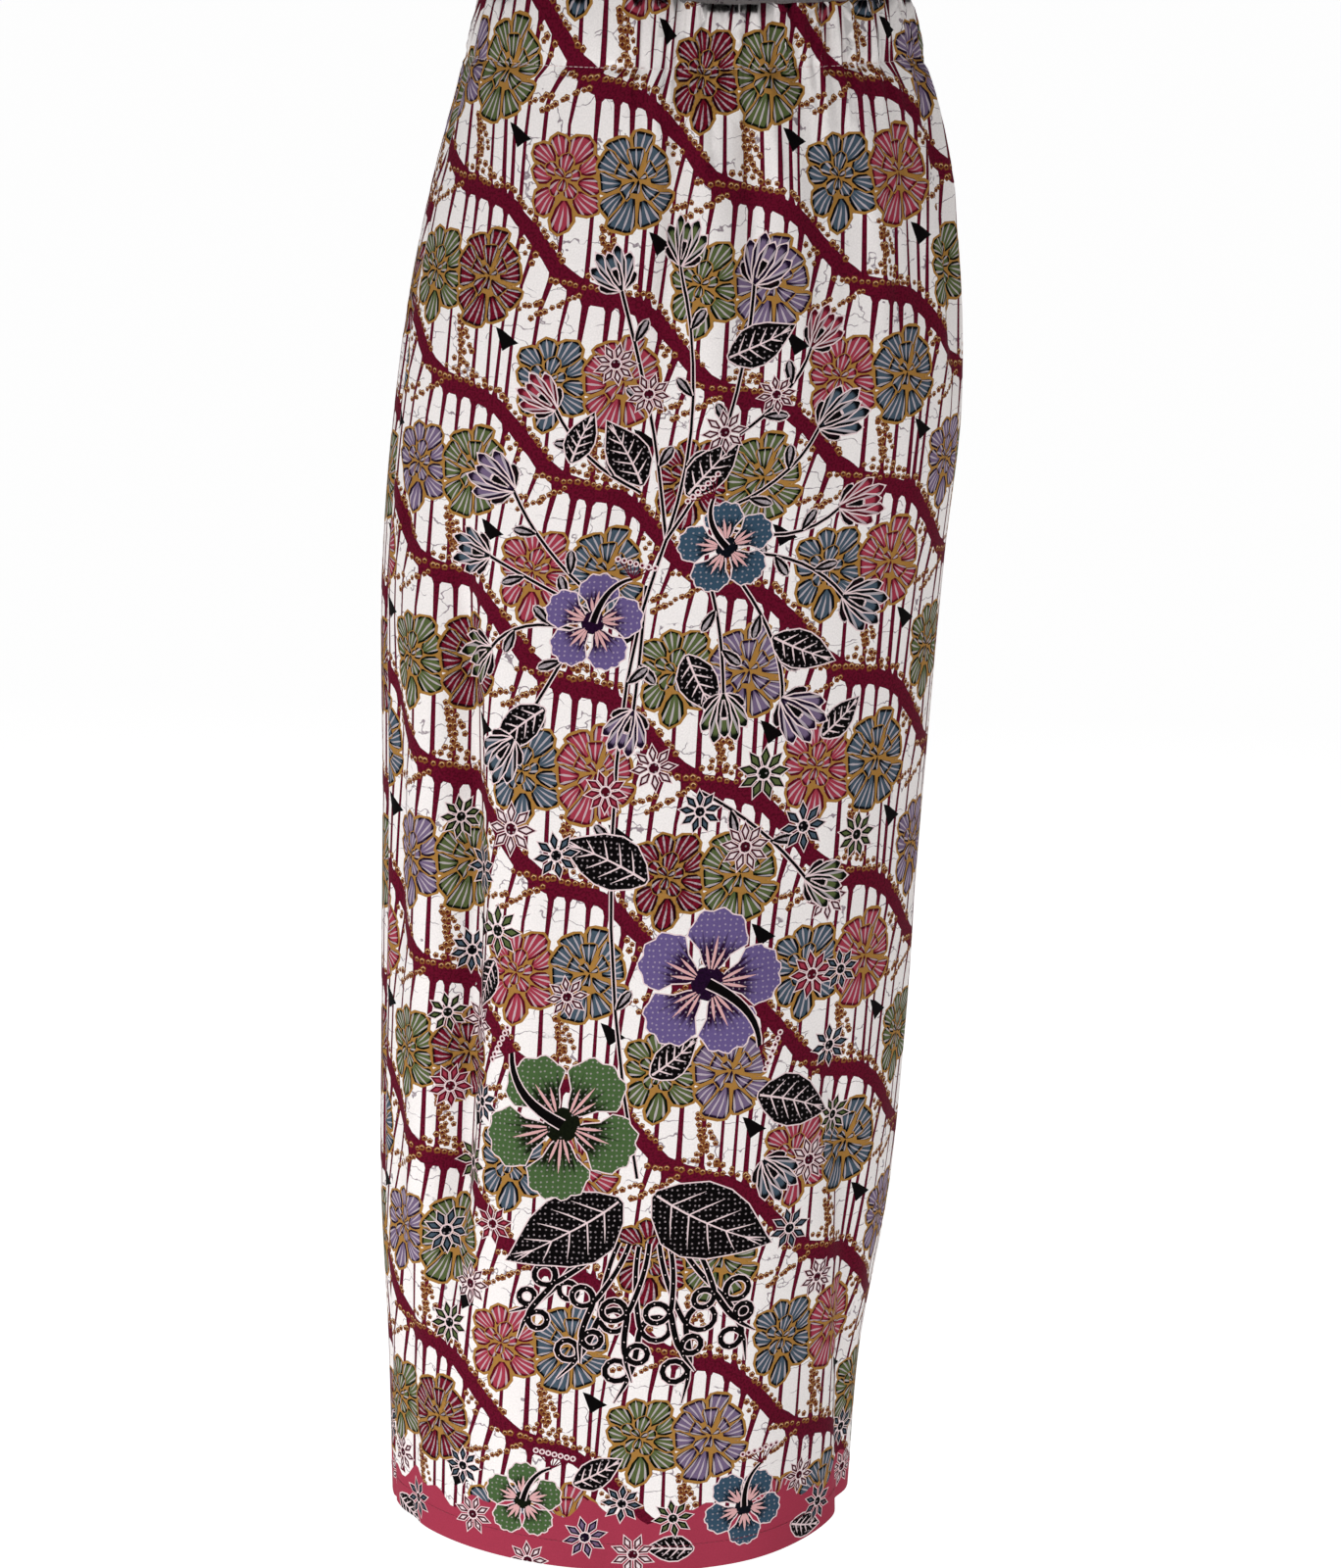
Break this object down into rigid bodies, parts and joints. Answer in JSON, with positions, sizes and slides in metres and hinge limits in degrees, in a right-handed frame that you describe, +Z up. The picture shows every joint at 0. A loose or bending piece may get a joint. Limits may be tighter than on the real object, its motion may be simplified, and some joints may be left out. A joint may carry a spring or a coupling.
{
  "type": "batik sarong skirt",
  "caption": "Long straight batik sarong skirt with a gathered elastic waist, shown as worn: a hollow cloth tube open at waist and hem.",
  "frame": {"origin": "middle of the elastic ring at the waist, where the wearer holds the skirt up", "axes": "+Z up from hem to waist, the front faces -Y, +X to the right of someone who faces the front"},
  "size_m": [0.3815, 0.257, 1.019],
  "materials": {
    "batik_cotton": "printed plain-weave cotton, matt with a faint sheen",
    "waist_casing": "the same printed cotton, gathered over elastic"
  },
  "bodies": {
    "root": {"front_panel": "batik_cotton", "back_panel": "batik_cotton", "waist_casing": "waist_casing"}
  },
  "joints": []
}
